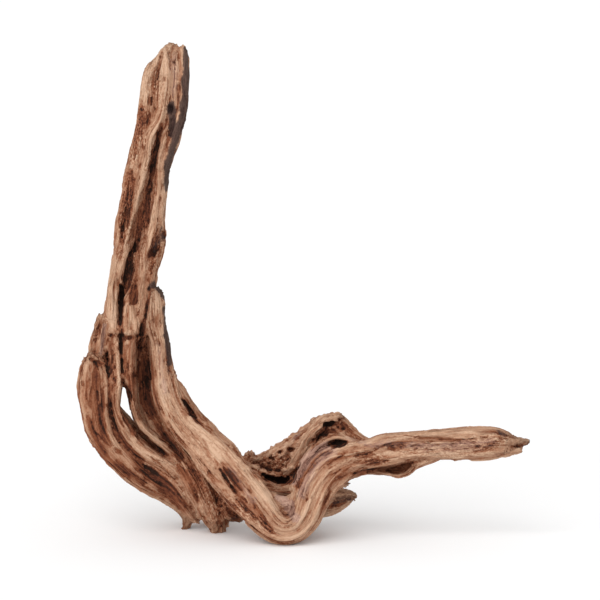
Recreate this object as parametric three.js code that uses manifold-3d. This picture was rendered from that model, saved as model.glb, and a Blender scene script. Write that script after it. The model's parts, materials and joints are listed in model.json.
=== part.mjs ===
// A bare piece of weathered driftwood: the twisted foot of an old root. A tall split arm stands on
// the left, its strands run down and together through a tight elbow, and a straight arm leaves the
// elbow to the right. A rough broken stump and two short feet are behind the elbow.
//
// The wood grew as one piece, so it is one solid. It is drawn as the strands it grew as: each is a
// list of rows along its middle, and the strands are joined into one body. Millimetres, +Z up.
import * as THREE from "three";
import { mergeVertices } from "three/addons/utils/BufferGeometryUtils.js";
import Module from "manifold-3d";

// The strands are drawn on an upright sheet: x to the right, y away from the viewer, z up the sheet.
// The finished wood is tipped back from the sheet by TIP_BACK to stand on its feet.
const TIP_BACK = THREE.MathUtils.degToRad(10);
const GROUND = 6.6; // height of the resting plane once tipped; the feet are worn flat there
const MIDDLE_X = -1.5; // the middle of the wood's width and depth, which the origin lies under
const MIDDLE_Y = 35.5;

const SIDES = 9; // corners round a strand
const RING_STEP = 15; // most distance between two rings along a strand
const LOBE = 0.07; // how far a section strays from an ellipse, as a share of its radius
const LOBES = 3;

// Each row of a strand: x, y, z of its middle, half its width across the sheet, half its depth.
const TALL_ARM = {
  back: [
    [-154, 8, 598, 11, 9], [-162, 7, 582, 19, 14], [-166, 8, 550, 25, 17],
    [-169, 9, 520, 26, 17], [-175, 9, 495, 24, 15], [-183, 10, 465, 23, 14],
    [-191, 10, 430, 22, 13], [-197, 11, 390, 23, 13], [-202, 13, 350, 24, 14],
    [-206, 15, 310, 26, 15], [-210, 21, 270, 28, 14], [-213, 22, 240, 25, 12],
    [-215, 25, 208, 17, 9], [-216, 27, 190, 6, 5],
  ],
  left: [
    [-177, 5, 580, 5, 7], [-184, 3, 563, 8.5, 13], [-187, 2, 530, 10, 15],
    [-192, 3, 500, 10, 16], [-198, 4, 475, 10, 16], [-205, 5, 445, 10, 16],
    [-210, 6, 415, 10, 16], [-216, 7, 385, 10, 16], [-219, 8, 355, 10, 15],
    [-223, 9, 325, 9.5, 14], [-228, 10, 300, 8, 13], [-234, 9, 272, 8, 13],
    [-239, 9, 245, 9, 12], [-244, 12, 222, 9, 10], [-246, 16, 200, 8, 8],
  ],
  ridge: [
    [-166, -4, 592, 3.5, 5], [-165, -9, 562, 5, 6], [-168, -8, 532, 5, 6],
    [-173, -7, 510, 6, 7], [-184, -7, 489, 6, 7], [-188, -6, 472, 5, 7],
    [-192, -5, 452, 4.5, 6], [-197, -4, 430, 3.5, 6], [-202, -4, 408, 3, 6],
    [-206, -3, 388, 3, 6], [-211, -3, 370, 3.5, 6], [-218, -3, 350, 4, 6],
    [-225, -2, 330, 4, 6], [-229, -2, 312, 4.5, 7], [-231, -3, 290, 6, 8],
    [-231, -2, 270, 6.5, 7], [-230, -1, 254, 5, 6], [-230, 1, 238, 3, 4],
  ],
  right: [
    [-148, 8, 597, 7, 10], [-148, 5, 582, 9.5, 13], [-149, 4, 545, 10, 15],
    [-150, 3, 520, 10, 15], [-155, 5, 500, 10, 15], [-161, 6, 482, 10, 15],
    [-166, 6, 465, 9, 15], [-170, 7, 445, 7.5, 14], [-171, 7, 425, 6.5, 14],
    [-173, 7, 405, 7, 14], [-175, 9, 385, 7.5, 14], [-176, 10, 368, 9, 14],
    [-180, 10, 345, 8.5, 13], [-185, 8, 325, 8.5, 13], [-187, 5, 300, 9, 12],
    [-189, 3, 275, 8, 11], [-191, 4, 258, 6, 9], [-195, 9, 235, 3, 6],
  ],
  rightRib: [
    [-164, -6, 505, 3, 5], [-169, -7, 482, 3.5, 5], [-174, -7, 460, 3.5, 5],
    [-175, -5, 440, 3.5, 5], [-176, -5, 422, 4, 5], [-179, -5, 400, 4.5, 5],
    [-182, -5, 380, 4.5, 5], [-185, -4, 362, 5, 6], [-190, -3, 340, 4, 6],
    [-192, -3, 318, 4, 6], [-195, -2, 295, 5, 6], [-197, -1, 272, 4.5, 5], [-199, 2, 246, 3, 5],
  ],
  middle: [
    [-192, 6, 388, 3, 4], [-194, 2, 365, 5, 6], [-199, 0, 345, 5.5, 7],
    [-200, -1, 322, 5.5, 7], [-204, 0, 300, 8, 8], [-209, -1, 284, 11, 9],
    [-209, -2, 267, 13, 9], [-209, -1, 252, 11, 8],
  ],
};

// The split body under the tall arm, from its outer left strand to the thin strand on its right.
const BODY = {
  leftOuter: [
    [-259, -4, 226, 7, 8], [-256, -5, 218, 15, 14], [-255, -6, 202, 19.5, 18],
    [-255, -6, 180, 20.3, 19], [-252, -5, 160, 19.3, 19], [-247, -3, 138, 18, 18],
    [-236, 0, 117, 17, 17], [-219, 4, 98, 16, 16], [-199, 10, 78.5, 15, 14],
    [-180, 16, 66, 12, 12], [-165, 25, 57, 11, 11], [-151, 34, 45, 9, 10],
    [-142, 44, 32, 8, 9], [-142, 50, 22, 6.5, 7], [-145, 54, 11, 5.5, 6],
  ],
  leftTop: [
    [-244, 2, 274, 4.5, 6], [-245, 2, 263, 7, 10], [-248, 4, 245, 9, 12],
    [-251, 7, 228, 9.5, 12], [-254, 11, 206, 8, 10],
  ],
  leftInner: [
    [-234, 10, 215, 4, 7], [-234, 9, 190, 5, 8], [-233, 9, 160, 6, 9],
    [-229, 9, 138, 7, 9], [-217, 11, 116, 8, 9], [-200, 14, 98, 9, 11],
    [-180, 15, 84, 11, 12], [-161, 18, 70, 13, 13], [-148, 25, 54, 12, 12],
    [-137, 36, 38, 10, 10], [-129, 44, 27, 7, 7],
  ],
  slitLeft: [
    [-228, 3, 268, 3, 5], [-227, -1, 249, 7, 8], [-227, -4, 230, 8, 10], [-226, -5, 205, 9.5, 12],
    [-228, -5, 180, 8, 12], [-226, -4, 160, 7, 12], [-219, -2, 141, 9, 12],
    [-207, 1, 123, 10, 12], [-191, 4, 108, 9.5, 12], [-175, 6, 98, 9.5, 11],
    [-161, 9, 88, 9, 10], [-154, 12, 79, 5, 7],
  ],
  slitRight: [
    [-209, -2, 253, 9, 8], [-210, -3, 235, 8.5, 10], [-209, -4, 210, 8, 11],
    [-208, -4, 190, 7, 10], [-206, -3, 172, 6, 9], [-203, -1, 158, 5.5, 8],
    [-196, 2, 142, 5.5, 8], [-183, 5, 128, 5.5, 8], [-167, 8, 115, 6, 8],
    [-155, 10, 104, 7, 9], [-146, 12, 88, 6, 9], [-141, 16, 70, 5, 9],
    [-135, 24, 50, 5, 9], [-128, 34, 33, 5, 8],
  ],
  hollowFloor: [
    [-196, 20, 262, 10, 8], [-194, 22, 235, 12, 8], [-192, 24, 205, 13, 8],
    [-190, 25, 178, 17, 8], [-180, 24, 150, 20, 9], [-163, 21, 125, 21, 11],
    [-144, 16, 102, 19, 14], [-130, 10, 80, 21, 17], [-120, 14, 58, 20, 18],
    [-112, 22, 38, 18, 17], [-106, 32, 22, 12, 13], [-105, 36, 8, 8.5, 9],
  ],
  rightKnob: [
    [-102, 14, 52, 14, 15], [-90, 26, 36, 9, 12], [-79, 33, 30, 6, 8],
    [-76, 36, 29, 3, 4],
  ],
  rightEdge: [
    [-161, -4, 212, 3, 6], [-157.5, -4, 200, 4, 8], [-148, -5, 186, 5.5, 10],
    [-141, -6, 176, 4, 11], [-131, -8, 163, 4, 12], [-123, -10, 151, 5.5, 13],
    [-114, -12, 139, 8, 14], [-105, -14, 125, 8.5, 15], [-92, -16, 112, 10.5, 15],
    [-80, -18, 96, 9, 15],
  ],
};

// The main strand: down the right of the body, round the elbow and out along the right arm.
const MAIN = [
  [-179, -2, 307, 5, 7], [-178, -3, 293, 9, 12], [-177.5, -4, 265, 11.5, 15],
  [-172, -5, 240, 11.5, 17], [-170, -6, 215, 12.5, 18], [-167, -7, 190, 15.5, 20],
  [-162, -9, 172, 16, 21], [-153, -11, 155, 17, 22], [-140, -14, 138, 19, 24],
  [-123, -17, 121, 21, 25], [-107, -20, 103, 24, 26], [-92, -23, 86, 25, 26],
  [-78, -25, 70, 25, 26], [-64, -27, 54, 24, 26], [-51, -29, 38, 22, 25],
  [-38, -31, 24, 19.5, 23], [-24, -32, 18, 18.5, 23], [-9, -31, 22, 18, 22],
  [1, -30, 36, 21, 22], [7, -28, 54, 23, 22], [15, -26, 74, 24, 22],
  [27, -24, 90, 25, 22], [43, -23, 100, 23, 20], [60, -22, 105, 20, 19],
  [80, -20, 109.5, 18.5, 18], [100, -19, 113.5, 20, 19], [130, -18, 117.5, 18, 18],
  [160, -17, 120, 18.5, 18], [200, -16, 122.5, 19.5, 19], [225, -15, 123, 19.5, 19],
  [239, -14, 122, 16, 16], [249, -14, 121, 11, 11], [260, -13, 122.5, 6, 7],
  [270, -13, 124, 2.5, 3],
];

// What fills and edges the elbow, and the thin lip round the hollow under the right arm.
const ELBOW = {
  web: [
    [-46, -18, 52, 12, 14], [-33, -21, 45, 14, 14], [-19, -22, 43, 15, 14],
    [-5, -21, 53, 14, 14], [5, -19, 68, 12, 14], [15, -17, 85, 12, 14],
  ],
  floor: [
    [-70, 14, 84, 14, 16], [-45, 12, 71, 14, 19], [-20, 11, 66, 14, 20],
    [2, 6, 74, 14, 18], [20, 2, 96, 16, 17], [34, 0, 116, 17, 14],
    [50, -2, 124, 12, 12],
  ],
  riseRib: [
    [-16, -32, 67, 3.5, 7], [-9, -34, 84, 4, 8], [0, -34, 101, 4, 8],
    [10, -32, 113, 4, 8], [22, -30, 122, 4, 7], [36, -28, 128, 4, 7],
    [55, -26, 124, 4, 6], [72, -24, 119, 4, 6],
  ],
  armTip: [
    [238, -15, 112, 8, 8], [250, -16, 112, 4.5, 6], [261, -17, 114, 3, 4],
  ],
  lip: [
    [38, -12, 74, 7, 8], [52, -13, 79, 5, 8], [68, -15, 83, 4, 8],
    [84, -17, 85, 2.5, 9], [100, -18, 83, 2.5, 10], [112, -18, 81, 3, 10],
    [124, -18, 85, 3.5, 10], [131, -17, 92, 4, 10], [143, -16, 98, 5, 9],
    [157, -16, 104, 6, 9],
  ],
  lipBack: [
    [48, -2, 88, 8, 6], [70, 0, 92, 9, 6], [92, 0, 92, 10, 6],
    [114, -2, 91, 11, 6], [130, -5, 97, 8, 6], [146, -8, 104, 6, 6],
  ],
  spur: [
    [28, -4, 66, 6, 6], [42, -1, 70, 4, 5], [54, 1, 71, 1.5, 2],
  ],
};

// The rough broken stump behind the elbow, its fin, and the two feet that the viewer doesn't see.
const STUMP = {
  crown: [
    [-68, 33, 98, 7, 15], [-54, 35, 95, 13, 21], [-37, 36, 97, 18, 23],
    [-18, 33, 106, 19, 23], [0, 27, 118, 19, 22], [18, 19, 129, 19, 21],
    [34, 11, 138, 17, 19], [46, 5, 132, 14, 17], [60, -3, 119, 13, 16],
  ],
  peak: [
    [12, 8, 138, 9, 12], [18, 4, 148, 6, 9], [30, 0, 150, 6, 10],
    [40, 0, 153, 6, 9], [45, 1, 152, 3.5, 6],
  ],
  rib: [
    [40, -5, 148, 5, 8], [28, -8, 148, 6, 8], [18, -10, 140.5, 7.5, 9],
    [9, -10, 132, 8, 9], [1, -8, 119, 8, 9], [-7, -5, 105, 7.5, 9],
    [-15, 0, 93, 6.5, 8], [-24, 7, 84, 5, 6],
  ],
  roof: [
    [40, 2, 148, 5, 9], [50, -2, 139, 5, 9], [62, -8, 130, 5, 9],
    [76, -13, 122, 5, 9], [92, -16, 120, 6, 9],
  ],
  underside: [
    [-60, 38, 86, 9, 14], [-42, 46, 74, 10, 14], [-20, 46, 70, 12, 14],
    [2, 36, 74, 12, 14],
  ],
  leftKnob: [[-68, 31, 96, 9, 10], [-65, 29, 103, 8, 9], [-62, 28, 108, 5.5, 7]],
  middleKnob: [[10, 6, 139, 7, 8], [15, 5, 146, 5, 6], [18, 5, 151, 3, 3]],
  topKnob: [[26, 1, 147, 6, 8], [34, 0, 152, 6, 7], [40, 0, 153, 4.5, 5], [43, 1, 149, 3, 4]],
  core: [
    [-46, 30, 84, 12, 14], [-24, 22, 84, 14, 16], [-4, 12, 92, 15, 16],
    [12, 6, 108, 14, 14], [26, 2, 122, 10, 12],
  ],
  foot: [
    [-30, 44, 88, 16, 16], [-20, 58, 62, 14, 15], [-8, 73, 42, 12, 13],
    [-3, 82, 28, 10, 12], [-2, 88, 16, 9, 10],
  ],
  fin: [
    [-34, 10, 34, 10, 12], [-8, 16, 40, 13, 12], [8, 19, 44, 16, 12], [21, 22, 48, 17, 11],
    [33, 25, 51, 16.5, 9], [46, 27, 54, 12, 7], [56, 28, 55.5, 7.5, 5],
    [62, 29, 55, 3.5, 3],
  ],
};

// Strands at the back of the body: a ribbon that shows through the slit, and the back's own wood.
const BACK = {
  ribbon: [
    [-238, 28, 190, 6, 6], [-234, 31, 172, 7, 6], [-226, 33, 156, 8, 6],
    [-214, 34, 141, 10, 6], [-199, 35, 129, 10, 6], [-182, 35, 117, 10, 7],
    [-165, 32, 104, 11, 8], [-150, 30, 88, 11, 9], [-138, 30, 70, 11, 10],
  ],
  leftBack: [
    [-226, 22, 262, 8, 7], [-238, 24, 235, 10, 9], [-247, 24, 205, 12, 11],
    [-250, 24, 172, 12, 12], [-242, 27, 140, 13, 12], [-224, 32, 112, 13, 12],
    [-200, 38, 90, 13, 12], [-174, 44, 72, 13, 12], [-148, 54, 56, 13, 13],
    [-124, 70, 46, 13, 13], [-107, 86, 40, 12, 12], [-100, 100, 30, 10, 10],
    [-99, 106, 18, 9, 9],
  ],
  rightBack: [
    [-184, 12, 262, 7, 8], [-178, 12, 232, 10, 10], [-171, 10, 200, 12, 12],
    [-157, 8, 168, 14, 14], [-136, 8, 138, 16, 16], [-112, 10, 114, 17, 17],
    [-88, 14, 94, 17, 17], [-64, 20, 80, 16, 17], [-44, 30, 76, 14, 15],
  ],
  elbowBack: [
    [-108, 24, 66, 14, 18], [-84, 18, 54, 16, 20], [-58, 10, 44, 17, 22],
    [-32, 6, 36, 17, 22], [-8, 8, 38, 16, 18],
  ],
};

// Hollows cut out of the joined strands, drawn the same way.
const HOLLOWS = {
  upperEye: [
    [24, -26, 142, 2, 9], [30, -18, 145, 3.5, 14], [36, -14, 147, 2, 9],
  ],
  lowerEye: [
    [31, -40, 120, 2.5, 14], [40, -36, 121, 4.5, 20], [50, -36, 122, 2.5, 14],
  ],
  crownCrack: [
    [-20, -14, 78, 3, 16], [-11, -14, 92, 3.5, 18], [-1, -16, 107, 3.5, 18],
    [9, -18, 120, 4, 18], [22, -20, 129, 3, 16], [32, -20, 131, 1.5, 10],
  ],
  underCrown: [
    [-52, 10, 78, 5, 16], [-38, 8, 77, 6, 20], [-22, 4, 74, 6, 20],
    [-15, 0, 80, 3, 14],
  ],
};

const wasm = await Module();
wasm.setup();

// A point on a row's own two axes: across the sheet, and into it.
function sectionPoint(middle, along, halfWidth, halfDepth, angle, lobeTurn) {
  const across = new THREE.Vector3().crossVectors(along, new THREE.Vector3(0, 1, 0)).normalize();
  const inward = new THREE.Vector3().crossVectors(across, along).normalize();
  const size = 1 + LOBE * Math.cos(LOBES * angle + lobeTurn);
  return middle
    .clone()
    .addScaledVector(across, size * halfWidth * Math.cos(angle))
    .addScaledVector(inward, size * halfDepth * Math.sin(angle));
}

// One strand as a closed skin: a ring of points at each step along its middle, and a fan at each end.
function strandGeometry(rows, lobeTurn) {
  const middle = new THREE.CatmullRomCurve3(rows.map(([x, y, z]) => new THREE.Vector3(x, y, z)));
  const girth = new THREE.CatmullRomCurve3(rows.map(([, , , w, d]) => new THREE.Vector3(w, d, 0)));
  const spans = rows.length - 1;
  const perSpan = Math.max(1, Math.round(middle.getLength() / spans / RING_STEP));
  const rings = spans * perSpan + 1;
  const points = [];
  for (let ring = 0; ring < rings; ring++) {
    const t = ring / (rings - 1);
    const centre = middle.getPoint(t);
    const half = girth.getPoint(t);
    for (let side = 0; side < SIDES; side++) {
      const angle = (2 * Math.PI * side) / SIDES;
      points.push(
        sectionPoint(centre, middle.getTangent(t), half.x, half.y, angle, lobeTurn + 2 * t),
      );
    }
  }
  const first = points.push(middle.getPoint(0)) - 1;
  const last = points.push(middle.getPoint(1)) - 1;
  const faces = [];
  for (let side = 0; side < SIDES; side++) {
    const next = (side + 1) % SIDES;
    for (let ring = 0; ring < rings - 1; ring++) {
      const low = ring * SIDES;
      const high = low + SIDES;
      faces.push(low + side, high + side, low + next);
      faces.push(low + next, high + side, high + next);
    }
    const end = (rings - 1) * SIDES;
    faces.push(first, side, next);
    faces.push(last, end + next, end + side);
  }
  const geometry = new THREE.BufferGeometry().setFromPoints(points);
  geometry.setIndex(faces);
  return geometry;
}

// A closed three.js geometry as a solid that can be joined and cut.
function solidOf(geometry) {
  const bare = geometry.clone();
  bare.deleteAttribute("normal");
  bare.deleteAttribute("uv");
  const merged = mergeVertices(bare, 1e-4);
  return new wasm.Manifold(
    new wasm.Mesh({
      numProp: 3,
      vertProperties: merged.attributes.position.array,
      triVerts: new Uint32Array(merged.index.array),
    }),
  );
}

function geometryOf(solid) {
  const mesh = solid.getMesh();
  return new THREE.BufferGeometry()
    .setAttribute("position", new THREE.BufferAttribute(mesh.vertProperties, 3))
    .setIndex(new THREE.BufferAttribute(mesh.triVerts, 1));
}

// The strands joined, less the hollows, still on the sheet. Strands leave small pockets sealed
// between them, where the wood is solid, so only the outermost skin is kept.
function joinedStrands() {
  const groups = [TALL_ARM, BODY, { main: MAIN }, ELBOW, STUMP, BACK];
  const strands = groups.flatMap((group) => Object.values(group));
  const solids = strands.map((rows, index) => solidOf(strandGeometry(rows, index)));
  const hollows = Object.values(HOLLOWS).map((rows, index) => solidOf(strandGeometry(rows, index)));
  const joined = solids.reduce((whole, solid) => whole.add(solid));
  const hollowed = hollows.reduce((whole, solid) => whole.subtract(solid), joined);
  return hollowed.decompose().reduce((a, b) => (a.volume() > b.volume() ? a : b));
}

// The wood tipped back on to its feet, its origin on the ground under its middle, its feet worn flat.
function standingWood() {
  const tipped = geometryOf(joinedStrands()).rotateX(-TIP_BACK);
  tipped.translate(-MIDDLE_X, -MIDDLE_Y, -GROUND);
  const groundDepth = 100;
  const ground = new THREE.BoxGeometry(2000, 2000, groundDepth).translate(0, 0, -groundDepth / 2);
  return geometryOf(solidOf(tipped).subtract(solidOf(ground)));
}

const wood = new THREE.MeshStandardMaterial({ color: 0xb48a6c, roughness: 0.85, metalness: 0 });
const driftwood = new THREE.Mesh(standingWood(), wood);
driftwood.name = "driftwood";

const part = new THREE.Group();
part.add(driftwood);

export default part;
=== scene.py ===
"""A bare piece of weathered driftwood: the twisted foot of an old root, standing on its own feet.

The wood is drawn as the strands it grew as, on an upright sheet in millimetres: x to the right, y away
from the viewer, z up the sheet. The strands are joined, carved with hollows, cracks, ridges and broken
ends, stained, and last tipped back on to the feet, in metres.
"""

import json
import math

import bpy
import numpy as np
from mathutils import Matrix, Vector
from mathutils.bvhtree import BVHTree
from mathutils.kdtree import KDTree

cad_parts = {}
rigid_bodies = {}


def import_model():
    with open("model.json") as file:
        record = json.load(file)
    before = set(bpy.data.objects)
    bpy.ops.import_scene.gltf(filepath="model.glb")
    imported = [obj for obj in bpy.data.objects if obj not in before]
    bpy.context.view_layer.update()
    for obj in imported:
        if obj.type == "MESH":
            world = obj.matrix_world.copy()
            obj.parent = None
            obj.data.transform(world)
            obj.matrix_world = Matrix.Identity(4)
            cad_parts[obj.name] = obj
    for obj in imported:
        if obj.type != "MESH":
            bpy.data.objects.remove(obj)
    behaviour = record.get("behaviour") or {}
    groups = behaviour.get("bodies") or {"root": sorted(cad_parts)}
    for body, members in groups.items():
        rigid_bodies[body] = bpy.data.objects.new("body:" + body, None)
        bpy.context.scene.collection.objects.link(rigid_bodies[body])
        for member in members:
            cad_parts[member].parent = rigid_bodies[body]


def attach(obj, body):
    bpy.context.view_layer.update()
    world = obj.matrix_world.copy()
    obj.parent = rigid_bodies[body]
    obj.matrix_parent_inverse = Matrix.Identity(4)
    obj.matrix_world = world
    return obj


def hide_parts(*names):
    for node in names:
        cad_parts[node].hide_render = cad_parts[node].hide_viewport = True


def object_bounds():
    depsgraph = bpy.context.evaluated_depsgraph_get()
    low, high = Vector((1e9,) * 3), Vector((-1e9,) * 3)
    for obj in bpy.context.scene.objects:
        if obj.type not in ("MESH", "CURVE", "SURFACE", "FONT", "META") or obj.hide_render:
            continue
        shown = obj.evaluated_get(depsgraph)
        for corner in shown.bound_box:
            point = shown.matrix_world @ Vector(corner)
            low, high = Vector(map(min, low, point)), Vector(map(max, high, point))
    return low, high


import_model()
CAD_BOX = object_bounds()

# How the sheet meets the ground, as in the CAD: tipped back, with the feet worn flat.
TIP_BACK = math.radians(10)
GROUND = 6.6
MIDDLE_X = -1.5
MIDDLE_Y = 35.5

STRAND_STEP = 4  # mm between a strand's rings
STRAND_SIDES = 26
LOBE = 0.07  # how far a strand's section strays from an ellipse, as a share of its radius
LOBES = 3
SQUARENESS = 2.7  # 2 would make a strand's section round

VOXEL = 1.5  # mm, the grain of the carved mesh
TRIANGLES = 190000
MERGE = 0.00001  # m, points closer than this become one
EASED_DEPTH = 0.04  # m, how deep the wood is eased in where it would pass the CAD's box
STROKE_STEP = 1.5  # mm between the points of a drawn stroke
CUT_SHAKE = (1.6, 11)  # mm that a cut's edge strays, and the seed of its noise
# The dark floor of a cut is painted shade, darkest in deep narrow cuts.
THINNEST_MARK = 1.2  # mm, the least half width of a cut's dark floor
SWELL_SMOOTHING = 90  # rounds of smoothing that leave the wood's broad form
RAY_START = 0.0004  # m off the wood, so that a ray doesn't meet its own face
BUMP = 0.0011  # m, the height of the finest grain

SUN_FROM = (-1.1, -1.9, 1.7)
SUN_SOFTNESS = 70  # degrees across
SUN_STRENGTH = 1.85
ROOM_STRENGTH = 0.76
CAMERA_AIM = (-5.4, 0.0, 292.2)  # on the sheet
CAMERA_DISTANCE = 6.0  # m
CAMERA_WIDTH = 0.72  # m, what the camera sees across at that distance
SENSOR = 36  # mm

# Strands, five numbers a row: x, y, z of its middle, half its width across the sheet, half its depth.
TALL_ARM = {
    "back": [-154,8,598,11,9, -162,7,582,19,14, -166,8,550,25,17, -169,9,520,26,17, -175,9,495,24,15,
        -183,10,465,23,14, -191,10,430,22,13, -197,11,390,23,13, -202,13,350,24,14, -206,15,310,26,15,
        -210,21,270,28,14, -213,22,240,25,12, -215,25,208,17,9, -216,27,190,6,5],
    "left": [-177,5,580,5,7, -184,3,563,8.5,13, -187,2,530,10,15, -192,3,500,10,16, -198,4,475,10,16,
        -205,5,445,10,16, -210,6,415,10,16, -216,7,385,10,16, -219,8,355,10,15, -223,9,325,9.5,14,
        -228,10,300,8,13, -234,9,272,8,13, -239,9,245,9,12, -244,12,222,9,10, -246,16,200,8,8],
    "ridge": [-166,-4,592,3.5,5, -165,-9,562,5,6, -168,-8,532,5,6, -173,-7,510,6,7, -184,-7,489,6,7,
        -188,-6,472,5,7, -192,-5,452,4.5,6, -197,-4,430,3.5,6, -202,-4,408,3,6, -206,-3,388,3,6,
        -211,-3,370,3.5,6, -218,-3,350,4,6, -225,-2,330,4,6, -229,-2,312,4.5,7, -231,-3,290,6,8,
        -231,-2,270,6.5,7, -230,-1,254,5,6, -230,1,238,3,4],
    "right": [-148,8,597,7,10, -148,5,582,9.5,13, -149,4,545,10,15, -150,3,520,10,15, -155,5,500,10,15,
        -161,6,482,10,15, -166,6,465,9,15, -170,7,445,7.5,14, -171,7,425,6.5,14, -173,7,405,7,14,
        -175,9,385,7.5,14, -176,10,368,9,14, -180,10,345,8.5,13, -185,8,325,8.5,13, -187,5,300,9,12,
        -189,3,275,8,11, -191,4,258,6,9, -195,9,235,3,6],
    "right_rib": [-164,-6,505,3,5, -169,-7,482,3.5,5, -174,-7,460,3.5,5, -175,-5,440,3.5,5,
        -176,-5,422,4,5, -179,-5,400,4.5,5, -182,-5,380,4.5,5, -185,-4,362,5,6, -190,-3,340,4,6,
        -192,-3,318,4,6, -195,-2,295,5,6, -197,-1,272,4.5,5, -199,2,246,3,5],
    "middle": [-192,6,388,3,4, -194,2,365,5,6, -199,0,345,5.5,7, -200,-1,322,5.5,7, -204,0,300,8,8,
        -209,-1,284,11,9, -209,-2,267,13,9, -209,-1,252,11,8],
}

# The split body under the tall arm, from its outer left strand to the thin strand on its right.
BODY = {
    "left_outer": [-259,-4,226,7,8, -256,-5,218,15,14, -255,-6,202,19.5,18, -255,-6,180,20.3,19,
        -252,-5,160,19.3,19, -247,-3,138,18,18, -236,0,117,17,17, -219,4,98,16,16, -199,10,78.5,15,14,
        -180,16,66,12,12, -165,25,57,11,11, -151,34,45,9,10, -142,44,32,8,9, -142,50,22,6.5,7,
        -145,54,11,5.5,6],
    "left_top": [-244,2,274,4.5,6, -245,2,263,7,10, -248,4,245,9,12, -251,7,228,9.5,12, -254,11,206,8,10],
    "left_inner": [-234,10,215,4,7, -234,9,190,5,8, -233,9,160,6,9, -229,9,138,7,9, -217,11,116,8,9,
        -200,14,98,9,11, -180,15,84,11,12, -161,18,70,13,13, -148,25,54,12,12, -137,36,38,10,10,
        -129,44,27,7,7],
    "slit_left": [-228,3,268,3,5, -227,-1,249,7,8, -227,-4,230,8,10, -226,-5,205,9.5,12, -228,-5,180,8,12,
        -226,-4,160,7,12, -219,-2,141,9,12, -207,1,123,10,12, -191,4,108,9.5,12, -175,6,98,9.5,11,
        -161,9,88,9,10, -154,12,79,5,7],
    "slit_right": [-209,-2,253,9,8, -210,-3,235,8.5,10, -209,-4,210,8,11, -208,-4,190,7,10,
        -206,-3,172,6,9, -203,-1,158,5.5,8, -196,2,142,5.5,8, -183,5,128,5.5,8, -167,8,115,6,8,
        -155,10,104,7,9, -146,12,88,6,9, -141,16,70,5,9, -135,24,50,5,9, -128,34,33,5,8],
    "hollow_floor": [-196,20,262,10,8, -194,22,235,12,8, -192,24,205,13,8, -190,25,178,17,8,
        -180,24,150,20,9, -163,21,125,21,11, -144,16,102,19,14, -130,10,80,21,17, -120,14,58,20,18,
        -112,22,38,18,17, -106,32,22,12,13, -105,36,8,8.5,9],
    "right_knob": [-102,14,52,14,15, -90,26,36,9,12, -79,33,30,6,8, -76,36,29,3,4],
    "right_edge": [-161,-4,212,3,6, -157.5,-4,200,4,8, -148,-5,186,5.5,10, -141,-6,176,4,11,
        -131,-8,163,4,12, -123,-10,151,5.5,13, -114,-12,139,8,14, -105,-14,125,8.5,15,
        -92,-16,112,10.5,15, -80,-18,96,9,15],
}

# The main strand: down the right of the body, round the elbow and out along the right arm.
MAIN = [-179,-2,307,5,7, -178,-3,293,9,12, -177.5,-4,265,11.5,15, -172,-5,240,11.5,17,
    -170,-6,215,12.5,18, -167,-7,190,15.5,20, -162,-9,172,16,21, -153,-11,155,17,22, -140,-14,138,19,24,
    -123,-17,121,21,25, -107,-20,103,24,26, -92,-23,86,25,26, -78,-25,70,25,26, -64,-27,54,24,26,
    -51,-29,38,22,25, -38,-31,24,19.5,23, -24,-32,18,18.5,23, -9,-31,22,18,22, 1,-30,36,21,22,
    7,-28,54,23,22, 15,-26,74,24,22, 27,-24,90,25,22, 43,-23,100,23,20, 60,-22,105,20,19,
    80,-20,109.5,18.5,18, 100,-19,113.5,20,19, 130,-18,117.5,18,18, 160,-17,120,18.5,18,
    200,-16,122.5,19.5,19, 225,-15,123,19.5,19, 239,-14,122,16,16, 249,-14,121,11,11, 260,-13,122.5,6,7,
    270,-13,124,2.5,3]

# What fills and edges the elbow, and the thin lip round the hollow under the right arm.
ELBOW = {
    "web": [-46,-18,52,12,14, -33,-21,45,14,14, -19,-22,43,15,14, -5,-21,53,14,14, 5,-19,68,12,14,
        15,-17,85,12,14],
    "floor": [-70,14,84,14,16, -45,12,71,14,19, -20,11,66,14,20, 2,6,74,14,18, 20,2,96,16,17,
        34,0,116,17,14, 50,-2,124,12,12],
    "rise_rib": [-16,-32,67,3.5,7, -9,-34,84,4,8, 0,-34,101,4,8, 10,-32,113,4,8, 22,-30,122,4,7,
        36,-28,128,4,7, 55,-26,124,4,6, 72,-24,119,4,6],
    "arm_tip": [238,-15,112,8,8, 250,-16,112,4.5,6, 261,-17,114,3,4],
    "lip": [38,-12,74,7,8, 52,-13,79,5,8, 68,-15,83,4,8, 84,-17,85,2.5,9, 100,-18,83,2.5,10,
        112,-18,81,3,10, 124,-18,85,3.5,10, 131,-17,92,4,10, 143,-16,98,5,9, 157,-16,104,6,9],
    "lip_back": [48,-2,88,8,6, 70,0,92,9,6, 92,0,92,10,6, 114,-2,91,11,6, 130,-5,97,8,6, 146,-8,104,6,6],
    "spur": [28,-4,66,6,6, 42,-1,70,4,5, 54,1,71,1.5,2],
}

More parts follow.
